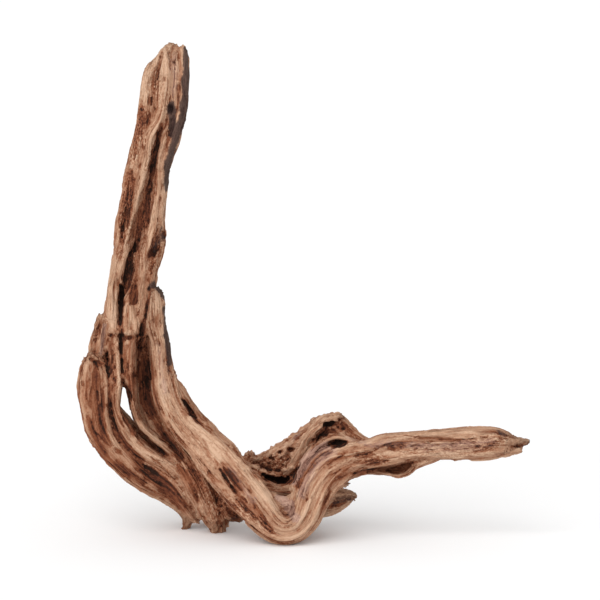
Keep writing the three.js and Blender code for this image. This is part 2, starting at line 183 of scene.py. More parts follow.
# The rough broken stump behind the elbow, its fin, and the two feet that the viewer doesn't see.
STUMP = {
    "crown": [-68,33,98,7,15, -54,35,95,13,21, -37,36,97,18,23, -18,33,106,19,23, 0,27,118,19,22,
        18,19,129,19,21, 34,11,138,17,19, 46,5,132,14,17, 60,-3,119,13,16],
    "peak": [12,8,138,9,12, 18,4,148,6,9, 30,0,150,6,10, 40,0,153,6,9, 45,1,152,3.5,6],
    "rib": [40,-5,148,5,8, 28,-8,148,6,8, 18,-10,140.5,7.5,9, 9,-10,132,8,9, 1,-8,119,8,9,
        -7,-5,105,7.5,9, -15,0,93,6.5,8, -24,7,84,5,6],
    "roof": [40,2,148,5,9, 50,-2,139,5,9, 62,-8,130,5,9, 76,-13,122,5,9, 92,-16,120,6,9],
    "underside": [-60,38,86,9,14, -42,46,74,10,14, -20,46,70,12,14, 2,36,74,12,14],
    "left_knob": [-68,31,96,9,10, -65,29,103,8,9, -62,28,108,5.5,7],
    "middle_knob": [10,6,139,7,8, 15,5,146,5,6, 18,5,151,3,3],
    "top_knob": [26,1,147,6,8, 34,0,152,6,7, 40,0,153,4.5,5, 43,1,149,3,4],
    "core": [-46,30,84,12,14, -24,22,84,14,16, -4,12,92,15,16, 12,6,108,14,14, 26,2,122,10,12],
    "foot": [-30,44,88,16,16, -20,58,62,14,15, -8,73,42,12,13, -3,82,28,10,12, -2,88,16,9,10],
    "fin": [-34,10,34,10,12, -8,16,40,13,12, 8,19,44,16,12, 21,22,48,17,11, 33,25,51,16.5,9,
        46,27,54,12,7, 56,28,55.5,7.5,5, 62,29,55,3.5,3],
}

# Strands at the back of the body: a ribbon that shows through the slit, and the back's own wood.
BACK = {
    "ribbon": [-238,28,190,6,6, -234,31,172,7,6, -226,33,156,8,6, -214,34,141,10,6, -199,35,129,10,6,
        -182,35,117,10,7, -165,32,104,11,8, -150,30,88,11,9, -138,30,70,11,10],
    "left_back": [-226,22,262,8,7, -238,24,235,10,9, -247,24,205,12,11, -250,24,172,12,12,
        -242,27,140,13,12, -224,32,112,13,12, -200,38,90,13,12, -174,44,72,13,12, -148,54,56,13,13,
        -124,70,46,13,13, -107,86,40,12,12, -100,100,30,10,10, -99,106,18,9,9],
    "right_back": [-184,12,262,7,8, -178,12,232,10,10, -171,10,200,12,12, -157,8,168,14,14,
        -136,8,138,16,16, -112,10,114,17,17, -88,14,94,17,17, -64,20,80,16,17, -44,30,76,14,15],
    "elbow_back": [-108,24,66,14,18, -84,18,54,16,20, -58,10,44,17,22, -32,6,36,17,22, -8,8,38,16,18],
}

# Cuts in the side that faces the viewer: how deep, then x, z and half width, again and again along it.
CUTS = [
    # the tall arm
    (6, -171,590,1.6, -174,575,2.2, -177,560,1.8, -178,551,1),
    (4, -158,596,1, -160,585,1.2, -161,572,0.6),
    (5, -156,578,1.8, -156.5,575,1.8),
    (5, -168,558,1.6, -168,555,1.6),
    (4, -171,504,2, -175,487,3.5, -179,465,4.5, -182,450,4.5, -184,436,4, -187,422,3),
    (2, -184,438,5, -190,417,9, -195,400,10, -199,383,9, -203,362,5, -206,350,3),
    (5, -172,422,1, -173,411,1.5, -174,401,0.8),
    (6, -213,407,1.5, -216,390,3, -218,378,3, -220,366,1.5),
    (6, -168,373,5, -175,363,5, -181,352,4, -185,345,2),
    (8, -199,364,2, -205,352,3, -210,342,3, -213,331,3, -215,320,3, -215,308,1.5),
    (3, -206,334,3, -206,322,6, -205,303,7, -204,290,5),
    (4, -195,346,1, -195,335,1.4, -195,324,0.8),
    (6, -160,524,3.2, -160,520,3.2),
    (5, -158,508,2.6, -158,504,3, -160,492,2, -161,480,1),
    (3, -150,590,2, -149,570,1.4, -151,545,1.6, -152,520,1),
    (4, -222,390,1.6, -222,386,1.6),
    # the body
    (11, -220,309,2, -219.5,290,2.8, -220,276,2.2, -220.5,262,1),
    (6, -186,306,1.2, -187,290,1.6, -190,275,1.8, -194,260,2.2, -195,250,2),
    (14, -221,251,1.4, -220.5,238,1.9, -219.5,222,1.9, -218.5,206,2.2, -218,192,1.6),
    (7, -238,232,0.8, -236.5,215,1.3, -235,195,1.4, -233,172,1.6, -230,152,1.8, -225,136,1.2),
    (7, -204,212,1, -203,200,2, -202,186,1),
    (6, -214,189,1, -212,180,2, -209,168,1.6),
    (6, -174,227,0.8, -173.5,219,1.6, -173,210,0.8),
    (4, -249,181,0.8, -243,186,1.2, -236,190,0.8),
    (3, -258,214,2, -257.5,208,2),
    (4, -268,193,2.4, -266,189,2),
    (3, -147,138,0.6, -136,126,1.1, -124,114,0.6),
    (3.5, -122,128,0.6, -117,118,1.3, -111,107,0.6),
    (9, -107,104,0.8, -101,92,1.2, -95,80,1.5, -88,70,1.6, -81,61,1.5, -74,56,1.2, -68,52,0.8),
    (3.5, -99,98,2, -90,87,4.5, -83,77,5.5, -76,68,5, -70,61,2.6),
    (4, -192,99,0.7, -173,87,1.3, -154,72,0.7),
    (4, -188,106,0.7, -170,93,1.2, -154,79,0.7),
    (3, -184,110,0.6, -166,98,1, -153,86,0.6),
    (13, -146,174,0.9, -140,165,2.6, -134,156,3.1, -128,148,2.2, -121,141,0.9),
    (6, -157,201,0.8, -156,190,1.6, -152,177,1.6, -147,165,1.2, -141,155,0.6),
    (3, -140,173,0.6, -131,161,1, -121,149,0.6),
    (3.5, -212,112,0.8, -196,96,1.3, -180,85,1.5, -165,74,1.4, -152,60,1.3, -142,42,1),
    (4, -198,88,0.7, -178,74,1.3, -160,62,1.3, -148,48,0.8),
    (3, -228,96,0.6, -207,80,1.1, -186,66,1.1, -166,54,0.6),
    (3.5, -96,113,0.7, -80,91,1.4, -68,71,1.4, -62,56,1.2, -59,44,0.7),
    (4, -146,67,2.4, -144,64,2.4),
    (4, -199,238,1, -201,205,1.6, -200,170,1.4, -194,146,0.8),
    (3, -192,218,0.6, -190,190,1.2, -183,165,0.8),
    (3, -176,143,0.7, -158,117,1.4, -143,96,0.8),
    (3, -172,165,0.6, -158,140,1, -140,117,0.6),
    (3, -262,205,0.6, -263,180,1.1, -258,152,1.1, -246,122,0.6),
    (3, -249,205,0.6, -248,175,1.2, -243,145,1.2, -231,118,0.6),
    (3, -222,240,0.5, -226,215,1, -225,180,0.5),
    (3, -208,247,0.6, -211,220,1.1, -210,190,1.1, -205,162,0.6),
    (4, -241,262,1, -241,245,1.6, -241,230,1),
    (4, -258,222,1.4, -250,217,2, -243,215,1.4),
    (4, -236,252,1, -230,249,1.8, -225,251,1),
    (5, -217,250,1.2, -211,248,2.2, -204,251,1),
    (3, -124,121,0.6, -117,113,1, -112,101,0.6),
    (3, -150,136,0.6, -137,121,1.1, -124,105,1.1, -113,88,0.6),
    # the elbow
    (3, -32,60,1, -23,61,1.8, -14,65,1),
    (3, -32,51,1, -23,52,1.8, -12,56,1),
    (3, -28,43,1, -20,43,1.8, -10,48,1),
    (2.5, -23,35,0.8, -16,36,1.6, -8,40,0.8),
    (2.5, -12,36,0.7, 2,53,1.3, 13,74,1.3, 27,93,1.2, 44,106,1, 62,112,0.6),
    (2.5, -15,52,0.7, -6,70,1.3, 4,91,1.3, 17,107,1.1, 36,116,0.6),
    (2.5, 0,30,0.7, 13,48,1.3, 24,69,1.2, 38,87,1.1, 57,97,0.9, 80,101,0.6),
    (2.5, 12,30,0.6, 22,46,1.1, 31,62,1, 44,78,0.6),
    (2, -6,58,0.6, 3,78,1.1, 14,96,1.1, 30,110,0.6),
    # the stump
    (15, 31.5,120,1.6, 35,121,4, 40,121.5,5, 45,121.5,3.6, 49,122,1.4),
    (9, 23,142,1, 27,143.5,2.8, 32,144.5,2.8, 36,146,1.2),
    (8, 5,118,1, 10,122,2.6, 16,126,2.8, 22,129,2, 30,131,1),
    (26, -54,84,2, -42,79,3, -30,76,4.2, -22,75,4.6, -16,78,3.8, -11,88,2.2, -6,97,1.2),
    (7, -24,106,2, -18,111,3.4, -12,120,2.4, -8,128,1),
    (4, -50,101,1, -36,104,1.6, -24,113,1),
    (3, -64,97,0.8, -45,90,1.5, -24,86,0.8),
    (3, 52,138,0.6, 60,131,1.2, 72,124,0.6),
    (3, 46,139,0.6, 54,131,1.2, 66,122,0.6),
    (3, 20,145,0.5, 8,132,1.1, -2,116,1.1, -10,98,0.6),
    (3, 24,139,0.5, 14,130,1, 5,117,1, -2,104,0.5),
    # the side arm
    (2.5, 101,117.5,2, 110,118,5.5, 119,119,2),
    (3.5, 108,124,0.7, 125,126,1.5, 140,127,2, 156,126,3, 168,125.5,2.4, 184,125,1.6, 205,125,0.7),
    (2.5, 58,117,0.6, 80,118,1.1, 101,119,0.6),
    (2.5, 92,105,0.6, 120,104,1.1, 152,105,0.6),
    (6, 54,85,1, 66,88,1.3, 82,90,1.3, 102,92.5,1.3, 120,95.5,1.3, 134,98.5,0.8),
    (4, 76,87,1.5, 96,88,4, 114,88,5, 126,91,4, 132,95,1.5),
    (2.5, 146,133,0.6, 140,132.5,1.2, 133,132,0.6),
    (4, 213,128,1.8, 217,128,1.8),
    (4, 232,136,1, 236,134,2, 241,130,1),
    (3, 214,115.5,1.6, 216,115,1.6),
    (3, 211,111,1.2, 213,110.5,1.2),
    (6, 247,117,1, 256,117.5,1.8, 266,118,1),
    (2, 165,112,0.6, 190,110,1.1, 222,112,0.6),
    (2, 168,131,0.6, 190,132,1, 220,132,0.6),
    (2.5, 70,108,0.6, 86,110,1.2, 100,113,0.6),
]

# Wood that stands proud, drawn the same way: how far it stands out, then the points along it.
RAISED = [
    (2.5, -192,376,3.4, -192,372,3.4),
    (1.5, -210,284,4, -210,272,10, -210,258,11),
    (5, -36,104,3.5, -34,103,4),
    (5, -27,106,3.5, -25,105,3.5),
    (5, -31,97,3, -29,98,3.5),
    (4, -36,92,3, -34,92,3.5),
    (5, -25,89,3.5, -24,88,3.5),
    (4, -16,91,3, -14,90,3),
    (2.5, -234,312,2, -233,290,4, -234,270,3),
]

# Where the broken wood is crumbly, drawn the same way: how rough it is in mm, then the points.
CRUMBLY = [
    (11, -52,94,10, -38,98,13, -26,102,12, -18,112,9, -10,124,6),
    (3.6, -74,102,9, -50,111,9, -30,120,8, -14,132,8, 4,144,9, 20,152,8, 36,158,9, 46,152,8),
    (4, 10,122,6, 24,134,8, 40,140,8, 56,134,6),
    (4, -66,100,8, -50,92,12, -30,84,10),
    (4, -262,224,8, -252,222,8, -242,216,7),
    (3, -184,308,6, -174,308,7),
    (3, 20,146,8, 34,150,8, 44,150,7),
    (3.5, -220,250,7, -200,250,7),
    (4, -146,14,8, -132,28,9, -112,18,13, -92,28,13, -76,30,8),
    (2.2, -140,100,12, -126,82,16, -118,60,16, -110,40,14),
    (3, -248,268,7, -252,246,6),
    (2.5, 244,124,10, 264,120,8),
    (2.5, -176,588,7, -160,596,8, -143,594,7),
]

# Stains on the same side, drawn the same way: how strong, then the points.
STAINS = {
    # near-black blue-grey where the wood is charred or wet-rotted
    "char": [
        (1.1, -142,594,5, -142,570,5, -142,545,6, -144,520,7, -149,500,6, -155,485,5),
        (0.9, -156,480,5, -161,462,5, -165,440,5, -166,425,4),
        (1.0, -160,527,4, -159,515,5, -158,503,5, -160,488,3),
        (1.0, -188,305,2, -186,308,3, -180,310,5, -172,305,4.5, -168,294,3),
        (0.9, -168,282,2, -166,270,2.6, -165,256,4, -163,240,5, -161,226,4.6, -160,215,3),
        (0.5, -163,212,3, -163,204,2.4),
        (0.6, -167,370,3, -174,362,4, -181,351,2.4),
        (0.5, -171,382,2, -172,370,3),
        (0.5, 38,52,8, 50,54,7, 58,57,4),
        (0.5, 232,136,3, 240,130,3),
        (0.4, -88,28,6, -78,30,5),
    ],
    # dark reddish brown: partly the wood's own colour, partly painted shade in hollows, folds and along cuts
    "red": [
        (0.7, -105,101,1.4, -97,85,2, -88,71,2.4, -78,60,2.4, -70,54,2),
        (0.75, -98,98,3, -90,87,6, -83,77,7, -75,66,5),
        (1.0, -146,174,1.4, -138,162,3, -129,149,2.6, -121,142,1.4),
        (0.55, -95,62,8, -84,50,9, -72,42,8, -66,30,6),
        (1.1, -60,85,4, -40,79,5, -22,76,6, -14,82,4, -9,92,2.4),
        (0.8, 42,80,3, 56,83,3.5, 70,86,3, 84,90,2),
        (1.2, 33,119,4, 40,121,6, 48,122,4),
        (1.0, 24,142,3, 30,145,5, 36,146,3),
        (0.7, -250,182,2, -243,186,3, -241,165,4, -242,140,4),
        (1.0, -220,310,2.4, -219.5,285,3, -220,262,2),
        (1.0, -219,255,3, -219,230,3, -218,205,3),
        (1.1, -197,521,5, -193,513,9, -193,503,9, -200,494,8),
        (0.7, -210,442,8, -213,425,10, -216,400,10, -219,376,7),
        (0.7, -218,366,6, -221,345,6),
        (0.45, -202,486,5, -203,470,5, -205,456,4),
        (0.45, -10,72,6, -2,88,7, 12,102,8, 28,110,7),
        (0.4, -172,375,6, -178,355,8, -183,330,6, -190,315,5),
        (0.75, -252,212,9, -253,196,14, -255,176,16, -254,160,15),
        (0.8, -254,150,12, -248,128,12, -240,112,10, -226,97,9, -210,86,8),
        (0.6, -273,188,5, -273,170,6, -270,150,7, -262,130,7),
        (1.3, -243,180,3, -243,165,5, -244,150,7, -243,135,7, -241,120,6, -238,108,4),
        (0.7, -238,230,2, -236,210,2.6, -234,190,2.6, -232,165,3, -228,148,3),
        (1.0, -213,188,2, -211,178,3, -209,165,2),
        (0.6, -258,222,4, -248,217,4, -240,215,3),
        (0.7, -231,250,3, -226,246,3),
        (0.7, -215,247,3, -208,247,3),
        (0.25, -222,318,8, -224,300,4),
        (0.7, -231,240,4, -230,215,6, -229,190,6, -225,165,6, -217,145,5),
        (1.0, -222,112,3, -210,102,5, -196,91,7, -180,80,8, -166,68,8, -154,54,7, -144,40,6),
        (0.7, -228,136,5, -220,122,5, -212,112,4),
        (0.5, 214,115,6, 222,118,6, 234,128,6, 238,132,4),
        (0.55, -88,58,6, -76,44,8, -62,34,8),
        (0.9, -171,503,3, -174,485,4, -178,462,4, -182,446,4),
        (0.5, -179,470,6, -182,445,8, -186,420,9, -192,395,10, -198,372,9, -204,350,8),
        (0.6, -205,335,9, -205,312,10, -204,290,8),
        (0.75, -196,262,4, -196,235,6, -196,205,7, -194,175,7, -184,152,7),
        (0.8, -186,215,6, -183,180,8, -172,145,9, -160,122,8, -148,106,7),
        (0.5, -209,245,7, -210,215,7, -208,190,6, -205,165,6, -198,142,5),
        (0.6, -233,165,5, -226,140,6, -213,118,7, -196,101,6),
        (0.8, -222,160,5, -212,148,6, -200,132,6, -182,116,6, -162,104,5),
        (0.35, -240,120,7, -230,102,9, -212,86,8, -192,76,6),
        (0.22, -160,130,8, -146,112,9, -136,95,12, -128,80,17, -120,62,18, -113,44,16, -108,27,12),
        (0.5, -112,72,6, -102,55,8, -96,42,8),
        (0.8, -98,42,9, -84,34,9, -76,30,7),
        (0.45, -48,95,8, -38,96,11, -26,96,9),
        (0.9, 5,118,2, 12,123,3.6, 22,130,5, 34,135,6, 44,138,5),
        (0.5, 28,138,6, 42,142,6),
        (0.6, -50,32,6, -44,22,6, -36,12,5),
        (0.5, 66,107,7, 80,104,8, 95,101,6),
        (0.7, 102,118,3, 110,118,6, 118,118,4),
        (0.8, 203,113,5, 212,115,7, 221,118,5),
        (0.5, 146,127,2, 160,127,3, 180,126,2),
        (0.35, 20,50,8, 34,50,10, 48,54,9),
        (0.8, -172,64,5, -161,55,6, -152,44,6),
        (0.5, -247,262,4, -249,245,5, -251,230,5),
        (0.4, -230,90,8, -205,74,6, -180,60,5),
    ],
    # pale bare wood on the worn ridges
    "pale": [
        (1.0, -36,104,2.6, -33,103,3),
        (1.0, -27,107,2.6, -24,105,3),
        (1.0, -31,98,2.6, -28,98,2.6),
        (0.9, -37,92,2.6, -33,92,2.6),
        (0.9, -25,89,2.6, -22,88,2.6),
        (0.9, -152,92,3, -160,102,3, -176,108,3, -190,118,2.4),
        (0.4, -262,140,2, -256,128,3, -249,116,2),
        (0.7, -214,78,3, -198,68,4, -180,58,4, -162,48,4),
        (0.2, -267,210,4, -269,200,5, -269,190,4),
        (0.4, -232,146,2, -230,128,3, -222,110,4, -208,97,3),
        (1.0, -166,592,8, -168,560,9, -170,530,7, -173,510,6, -183,492,6, -189,465,6, -193,440,5,
            -198,418,4, -202,400,3),
        (1.5, -178,580,8, -187,560,8, -189,540,7),
        (1.4, -176,506,5, -182,493,6, -187,478,5),
        (0.9, -158,590,6, -156,565,8, -158,540,7, -158,528,4),
        (0.9, -166,430,4, -167,410,5, -169,390,5),
        (0.7, -216,370,5, -218,350,6, -222,335,5),
        (1.6, -230,308,5, -229,292,6, -229,276,5, -232,262,5),
        (0.9, -226,240,1.6, -226,220,2, -225,202,2),
        (0.6, -199,310,3, -197,290,3, -196,275,3),
        (0.7, -210,378,3, -218,352,4, -226,332,4, -231,300,4, -233,275,5, -235,258,4),
        (0.8, -168,500,3, -172,480,4, -174,455,5, -172,432,4, -178,402,4, -184,375,4, -190,350,4,
            -194,322,4),
        (0.7, -211,282,7, -211,268,8, -211,253,7),
        (0.7, -198,300,4, -194,285,5, -188,262,5),
        (0.8, -180,298,5, -178,278,6),
        (0.4, -176,260,6, -175,240,6, -173,215,7),
        (0.8, -6,24,8, 6,40,10, 16,56,8),
        (0.8, -170,190,10, -158,160,12, -143,138,13),
        (1.0, -132,145,10, -122,125,14, -108,110,13, -98,98,10),
        (0.5, -223,238,2, -222,215,2, -221,190,2, -220,165,2),
        (0.7, -215,130,2, -200,113,3, -180,104,3, -164,96,4, -154,82,4),
        (0.6, -152,74,3, -146,60,3, -138,48,3, -130,34,3),
        (0.35, -98,122,10, -84,100,10),
        (0.7, -74,88,10, -64,74,11, -52,56,10, -40,36,9, -26,20,9, -8,12,9, 8,18,7, 22,34,7),
        (0.9, 44,154,5, 32,153,5, 20,150,5),
        (0.6, 20,143,5, 9,134,6, 1,122,7, -6,108,7, -13,96,6, -20,88,4),
        (1.3, -42,58,8, -28,46,9, -22,56,8, -14,66,5, -8,52,6),
        (0.7, 30,116,4, 42,114,4, 54,118,5, 50,127,3, 38,128,3),
        (0.3, 6,60,9, 20,84,9, 40,102,9, 62,110,8),
        (0.5, 80,124,6, 110,130,5, 150,133,5),
        (0.6, 124,120,4, 150,118,6, 190,117,6),
        (0.8, 90,88,6, 110,88,7, 126,90,5),
        (0.5, -56,98,6, -44,100,7, -30,108,6, -16,120,5),
        (0.8, 165,133,6, 200,133,7, 226,130,6),
        (0.8, 90,108,9, 120,110,10, 160,110,9, 200,110,8, 220,112,6),
        (0.5, -198,565,5, -197,540,4),
        (0.7, -229,345,3, -232,320,4, -234,300,4),
    ],
    # wood pitted with fine speckles of rot
    "specked": [
        (1.0, -196,520,8, -194,510,11, -200,496,10, -206,466,10),
        (0.6, -208,450,8, -211,430,10, -214,400,12, -216,370,12, -218,345,10),
        (1.0, -56,96,8, -40,98,12, -26,98,10),
        (0.5, -180,575,14, -180,545,16, -170,525,14),
        (0.6, -226,245,6, -226,215,7, -225,190,5, -210,215,6),
        (0.25, -178,250,8, -170,215,10, -162,185,12, -150,155,14, -130,130,14, -105,100,14),
        (0.4, -178,480,8, -184,450,12, -190,415,14, -198,380,14, -204,340,14, -208,310,12),
        (0.6, -168,400,6, -174,360,8, -184,325,8),
        (0.6, 120,112,9, 150,112,10, 185,114,12, 200,126,8),
        (1.0, 204,113,8, 216,117,10, 232,126,10, 240,130,6),
        (0.8, 66,107,8, 80,104,9, 95,101,7),
        (0.7, -88,56,8, -70,40,8, -52,26,8, -36,14,6),
        (0.5, -126,85,14, -112,55,16, -106,30,12),
    ],
    # grey-lilac wood that has weathered longest
    "lilac": [
        (0.9, -30,58,6, -22,52,8, -16,42,8, -10,32,7),
        (0.9, -14,74,5, -6,90,6, 4,104,7, 16,114,7, 28,120,6),
        (0.6, -4,60,8, 6,82,8, 18,100,8, 36,112,7),
        (0.8, -240,262,3, -242,245,3, -244,228,3),
        (0.5, -176,240,5, -172,210,6, -166,182,7),
        (0.5, 88,122,6, 120,119,7, 160,117,9, 200,120,9, 225,122,8),
        (0.5, -158,585,6, -155,560,7, -157,540,6),
        (0.5, 50,128,5, 70,122,5, 86,118,5),
        (0.5, -90,92,5, -74,70,6, -60,52,6),
        (0.6, -6,134,4, -14,122,4),
    ],
}

# The noises that streak and speckle the wood: each cell's size in mm across and along the grain.
PATTERNS = {
    "patches": (12, 70),
    "bands": (4.2, 70),
    "lines": (2.2, 44),
    "threads": (1.3, 20),
    "cracks": (7, 130),
    "specks": (2.2, 5.0),
    "grit": (1.5, 2.4),
}

# What the material works out, in this order. A sum is its start and then each value with its weight, and
# a weight may be another value. An eased value is what it comes from, two values of that, and what they
# become.
SHADING = {
    "speckle": (0.0, {"specks": 0.7, "grit": 0.9}),
    "speckle_share": ("specked", 0.0, 0.8, 0.09, 0.34),
    # thin dark lines along the grain where the wood has dried and split
    "split_here": ("patches", -0.2, 0.4, 0.0, 1.0),
    "splits": ("split_line", 0.14, 0.02, 0.0, "split_here"),
    # the wood's form: hollows, grooves and broad dishes are darker, partly from less bleaching and partly as
    # painted shade, and worn swellings pale
    "sheltered_and_shaded": ("open", 0.75, 0.2, 0.0, 1.0),
    "sunk_and_shaded": ("relief", -0.3, -2.0, 0.0, 1.0),
    "proud": ("relief", 0.0, 1.0, 0.0, 1.0),
    "swollen": ("swell", 0.0, 2.5, 0.0, 1.0),
    "dished_and_shaded": ("swell", -0.3, -2.2, 0.0, 1.0),
    # how dark the wood is: its grain and stains, with painted shade in hollows, grooves, folds and on the
    # floors of cuts
    "dark": (0.512, {
        "patches": 0.13, "bands": 0.11, "lines": 0.11, "threads": 0.09, "speckle": "speckle_share",
        "splits": 0.26, "red": 0.26, "pale": -0.12, "plate": -0.2, "sheltered_and_shaded": 0.17, "sunk_and_shaded": 0.3,
        "proud": -0.08, "swollen": -0.1, "dished_and_shaded": 0.12, "cut": 0.26,
    }),
    # where two of the stains show, their edges broken up by the grain
    "lilac_edge": (0.0, {"bands": 0.12, "lines": 0.12, "speckle": 0.2, "lilac": 1.0}),
    "lilac_shown": ("lilac_edge", 0.3, 0.7, 0.0, 0.5),
    "char_edge": (0.0, {"bands": 0.12, "lines": 0.12, "speckle": 0.2, "char": 1.0}),
    "char_shown": ("char_edge", 0.15, 0.7, 0.0, 0.88),
    "ash": (0.0, {"lines": 0.4, "speckle": 0.4}),
    "ash_shown": ("ash", -0.5, 0.6, 0.0, 1.0),
    "fine_relief": (0.0, {"lines": 0.5, "threads": 0.5, "speckle": -0.3, "splits": -1.0}),
    "roughness": ("lines", -0.6, 0.6, 0.78, 0.92),
}

# The wood's colours, from worn pale ridges to dark hollows, by how dark the wood is there; the darkest come
# partly from rot and partly from painted shade.
TONES = (
    (0.0, "#D2AD91"),
    (0.2, "#BA9074"),
    (0.4, "#A27257"),
    (0.6, "#844D33"),
    (0.8, "#5C3122"),
    (1.0, "#2E1D15"),
)
LILAC = "#A98A80"
SOOT = "#2A2123"
ASH = "#54433F"
FLOOR = "#F8F8F8"


def noise(points, seed=0):
    """Smooth noise of about -1 to 1, one value a point, on a lattice of side 1."""
    cell = np.floor(points).astype(np.int64)
    part = points - cell
    fade = part**3 * (part * (part * 6 - 15) + 10)
    total = np.zeros(len(points))
    for corner in range(8):
        step = np.array([corner & 1, corner >> 1 & 1, corner >> 2 & 1])
        x, y, z = (cell + step).T
        mixed = (x * 73856093 ^ y * 19349663 ^ z * 83492791 ^ (seed + 1) * 2654435761) & 0xFFFFFFFF
        mixed = ((mixed ^ mixed >> 15) * 2246822519) & 0xFFFFFFFF
        mixed = ((mixed ^ mixed >> 13) * 3266489917) & 0xFFFFFFFF
        mixed ^= mixed >> 16
        slope = np.stack([mixed & 1023, mixed >> 10 & 1023, mixed >> 20 & 1023], 1) / 511.5 - 1
        weight = np.prod(np.where(step, fade, 1 - fade), axis=1)
        total += weight * np.sum(slope * (part - step), axis=1)
    return total * 1.6


def ridged(points, seed=0):
    """Noise with sharp valleys: 0 in a valley, towards 1 between them."""
    return np.abs(noise(points, seed))


def smoothstep(low, high, value):
    t = np.clip((value - low) / (high - low), 0, 1)
    return t * t * (3 - 2 * t)


def spline(rows, step):
    """Rows about step apart on a smooth curve through the given rows."""
    rows = np.array(rows, float)
    held = np.vstack([2 * rows[0] - rows[1], rows, 2 * rows[-1] - rows[-2]])
    spans = []
    for a, b, c, d in zip(held, held[1:], held[2:], held[3:]):
        count = max(1, round(float(np.linalg.norm((c - b)[:3])) / step))
        t = np.arange(count)[:, None] / count
        bend = (2 * a - 5 * b + 4 * c - d) * t**2 + (3 * b - a - 3 * c + d) * t**3
        spans.append(0.5 * (2 * b + (c - a) * t + bend))
    return np.vstack([*spans, rows[-1:]])


class Strand:
    """A strand's middle, its own axes and its half sizes, every few millimetres along it."""

    def __init__(self, rows, number):
        fine = spline(np.reshape(rows, (-1, 5)), STRAND_STEP)
        self.number = number
        self.middle = fine[:, :3]
        self.half = np.maximum(fine[:, 3:], 0.6)
        along = np.gradient(self.middle, axis=0)
        self.along = along / np.linalg.norm(along, axis=1)[:, None]
        across = np.cross(self.along, [0, 1, 0])
        self.across = across / np.linalg.norm(across, axis=1)[:, None]
        self.inward = np.cross(self.across, self.along)
        steps = np.linalg.norm(np.diff(self.middle, axis=0), axis=1)
        self.distance = np.concatenate([[0], np.cumsum(steps)])

    def measure(self, points):
        """Each point's place in the strand's grain in mm, how far out it is, its row and its distance along.

        The grain's first two numbers are across the strand, stretched so that they follow its outline,
        and the third is along it. Each strand has its own offset, so no two have the same grain.
        """
        gap = np.sum(points**2, 1)[:, None] + np.sum(self.middle**2, 1) - 2 * points @ self.middle.T
        at = np.argmin(gap, axis=1)
        offset = points - self.middle[at]
        wide = np.sum(offset * self.across[at], 1) / self.half[at, 0]
        deep = np.sum(offset * self.inward[at], 1) / self.half[at, 1]
        ahead = np.sum(offset * self.along[at], 1)
        # a point past the strand's end, by more than 3 mm, is further out
        reach = np.hypot(wide, deep) + np.maximum(0, np.abs(ahead) - 3) / 4
        gone = self.distance[at] + ahead
        mean = self.half.mean(0)
        own = np.array([37.3, 19.1, 53.9]) * self.number
        place = np.stack([wide * mean[0], deep * mean[1], gone], 1) + own
        return place, reach, at, gone

    def skin(self):
        """The strand's closed skin: points, and faces of four or three corners."""
        rings = len(self.middle)
        angle = 2 * np.pi * np.arange(STRAND_SIDES) / STRAND_SIDES
        share = np.linspace(0, 1, rings)[:, None]
        square = np.abs(np.cos(angle)) ** SQUARENESS + np.abs(np.sin(angle)) ** SQUARENESS
        square = square ** (-1 / SQUARENESS)
        size = square * (1 + LOBE * np.cos(LOBES * angle + self.number + 2 * share))
        wide = (size * np.cos(angle) * self.half[:, :1])[..., None] * self.across[:, None]
        deep = (size * np.sin(angle) * self.half[:, 1:])[..., None] * self.inward[:, None]
        points = (self.middle[:, None] + wide + deep).reshape(-1, 3)
        points = np.vstack([points, self.middle[:1], self.middle[-1:]])
        faces = []
        for side in range(STRAND_SIDES):
            after = (side + 1) % STRAND_SIDES
            for ring in range(rings - 1):
                low = ring * STRAND_SIDES
                high = low + STRAND_SIDES
                faces.append((low + side, high + side, high + after, low + after))
            end = (rings - 1) * STRAND_SIDES
            faces.append((len(points) - 2, side, after))
            faces.append((len(points) - 1, end + after, end + side))
        return points, faces


def all_strands():
    groups = [TALL_ARM, BODY, {"main": MAIN}, ELBOW, STUMP, BACK]
    rows = [rows for group in groups for rows in group.values()]
    return [Strand(r, number) for number, r in enumerate(rows)]


def join_strands(strands):
    """One mesh object that holds every strand's skin, overlapping."""
    points, faces = [], []
    for strand in strands:
        skin, skin_faces = strand.skin()
        start = sum(len(p) for p in points)
        points.append(skin)
        faces += [tuple(start + corner for corner in face) for face in skin_faces]
    mesh = bpy.data.meshes.new("driftwood_wood")
    mesh.from_pydata(np.vstack(points).tolist(), [], faces)
    wood = bpy.data.objects.new("driftwood_wood", mesh)
    bpy.context.scene.collection.objects.link(wood)
    bpy.ops.object.select_all(action="DESELECT")
    wood.select_set(True)
    bpy.context.view_layer.objects.active = wood
    return wood


def apply_modifier(wood, kind, **settings):
    modifier = wood.modifiers.new(kind, kind)
    for name, value in settings.items():
        setattr(modifier, name, value)
    bpy.context.view_layer.objects.active = wood
    bpy.ops.object.modifier_apply(modifier=modifier.name)


def voxelise(wood):
    apply_modifier(wood, "REMESH", mode="VOXEL", voxel_size=VOXEL, use_smooth_shade=True)


